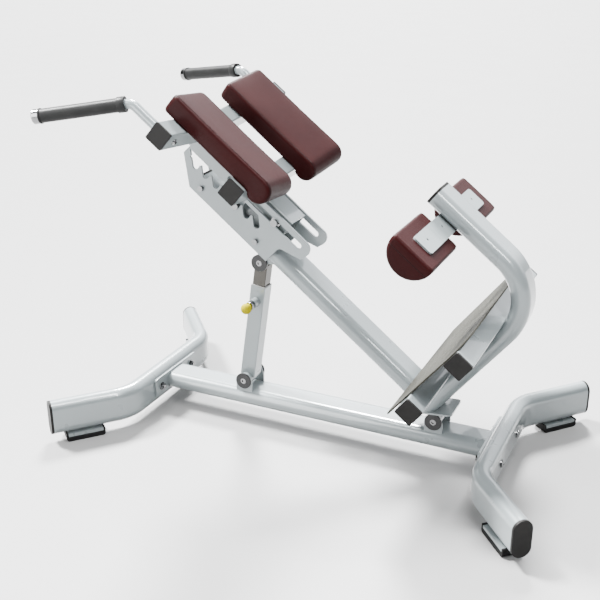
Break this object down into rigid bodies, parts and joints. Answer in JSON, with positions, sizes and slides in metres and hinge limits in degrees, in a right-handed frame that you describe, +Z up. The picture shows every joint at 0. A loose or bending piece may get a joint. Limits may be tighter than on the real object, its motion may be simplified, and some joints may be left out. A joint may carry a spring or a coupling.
{
  "type": "roman chair",
  "caption": "Roman chair for back extensions: splayed-foot base, tilting boom on a locking strut, sliding hip pads, hand grips, foot plate and ankle pads.",
  "frame": {"origin": "on the floor, at the centre of the base's footprint", "axes": "+Z up; +X towards the ankle pads, -X towards the hand grips; left and right are those of a user lying on the hip pads and facing -X, so left is -Y"},
  "size_m": [1.3666, 0.7938, 0.9741],
  "materials": {
    "frame_coat": "gloss silver-white powder coat",
    "hub_coat": "gloss silver-white powder coat",
    "cap_plastic": "moulded black plastic",
    "foot_rubber": "moulded black rubber",
    "grip_rubber": "ribbed black rubber",
    "zinc_steel": "zinc plated steel",
    "bolt_chrome": "polished chrome",
    "disc_steel": "dark brushed steel",
    "inner_chrome": "polished chrome",
    "sleeve_nylon": "white nylon",
    "tread_aluminium": "ribbed anodised aluminium",
    "pad_leather": "maroon grained upholstery leather",
    "knob_plastic": "yellow moulded plastic",
    "back_steel": "satin black steel"
  },
  "bodies": {
    "base": {"front_foot_tube": "frame_coat", "rear_foot_tube": "frame_coat", "foot_tube_caps": "cap_plastic", "foot_pad_plates": "frame_coat", "rubber_feet": "foot_rubber", "spine_beam": "frame_coat", "bolt_plates": "frame_coat", "foot_bolts": "bolt_chrome", "strut_bracket": "frame_coat", "tilt_bracket": "frame_coat", "base_pivot_shafts": "zinc_steel", "base_pivot_discs": "disc_steel", "base_pivot_bolts": "bolt_chrome"},
    "boom": {"boom_tube": "frame_coat", "boom_end_cap": "cap_plastic", "gooseneck_tube": "frame_coat", "gooseneck_end_cap": "cap_plastic", "stop_plate": "frame_coat", "tilt_hub": "hub_coat", "strut_top_bracket": "frame_coat", "strut_top_shaft": "zinc_steel", "strut_top_discs": "disc_steel", "strut_top_bolts": "bolt_chrome", "side_plate_left": "frame_coat", "side_plate_right": "frame_coat", "plate_rods": "zinc_steel", "lower_foot_bar": "frame_coat", "upper_foot_bar": "frame_coat", "foot_bar_caps": "cap_plastic", "foot_plate": "tread_aluminium", "ankle_plate": "frame_coat", "ankle_bolts": "bolt_chrome", "ankle_pad_left": "pad_leather", "ankle_pad_right": "pad_leather"},
    "strut_outer": {"strut_outer_tube": "frame_coat", "strut_lower_hub": "hub_coat", "strut_sleeve": "sleeve_nylon", "pin_housing": "hub_coat", "pin_collar": "bolt_chrome"},
    "strut_inner": {"strut_inner_tube": "inner_chrome", "strut_upper_hub": "hub_coat"},
    "pull_pin": {"pin_plunger": "bolt_chrome", "pin_knob": "knob_plastic"},
    "carriage": {"carriage_box": "frame_coat", "carriage_caps": "cap_plastic", "lock_pin_lugs": "hub_coat", "lock_pin": "bolt_chrome", "slot_bolt": "bolt_chrome", "upper_pad_bar": "frame_coat", "lower_pad_bar": "frame_coat", "pad_backs": "back_steel", "hip_pad_left": "pad_leather", "hip_pad_right": "pad_leather", "handle_left": "frame_coat", "handle_right": "frame_coat", "grips": "grip_rubber", "grip_collars": "grip_rubber", "grip_ends": "bolt_chrome", "handle_bolts": "bolt_chrome"}
  },
  "joints": [
    {"name": "boom_tilt", "type": "hinge", "parent": "base", "child": "boom", "pos_m": [0.3416, 0, 0.129], "axis": [0, 1, 0], "range_deg": [-2.54, 5.08]},
    {"name": "strut_swing", "type": "hinge", "parent": "base", "child": "strut_outer", "pos_m": [-0.2288, 0, 0.129], "axis": [0, 1, 0], "range_deg": [-2.04, 4.04]},
    {"name": "strut_extend", "type": "slide", "parent": "strut_outer", "child": "strut_inner", "axis": [0.1386, 0, 0.9903], "range_m": [-0.02554, 0.05059]},
    {"name": "pin_pull", "type": "slide", "parent": "strut_outer", "child": "pull_pin", "axis": [0, -1, 0], "range_m": [0, 0.012], "stiffness_N_per_m": 800, "springref_m": -0.01},
    {"name": "carriage_lift", "type": "hinge", "parent": "boom", "child": "carriage", "pos_m": [-0.11576, 0, 0.62665], "axis": [0, 1, 0], "range_deg": [0, 9.8]}
  ],
  "couplings": [
    {"joint": "strut_swing", "follows": "boom_tilt", "ratio": 0.78562},
    {"joint": "strut_extend", "follows": "boom_tilt", "m_per_rad": 0.56489}
  ]
}
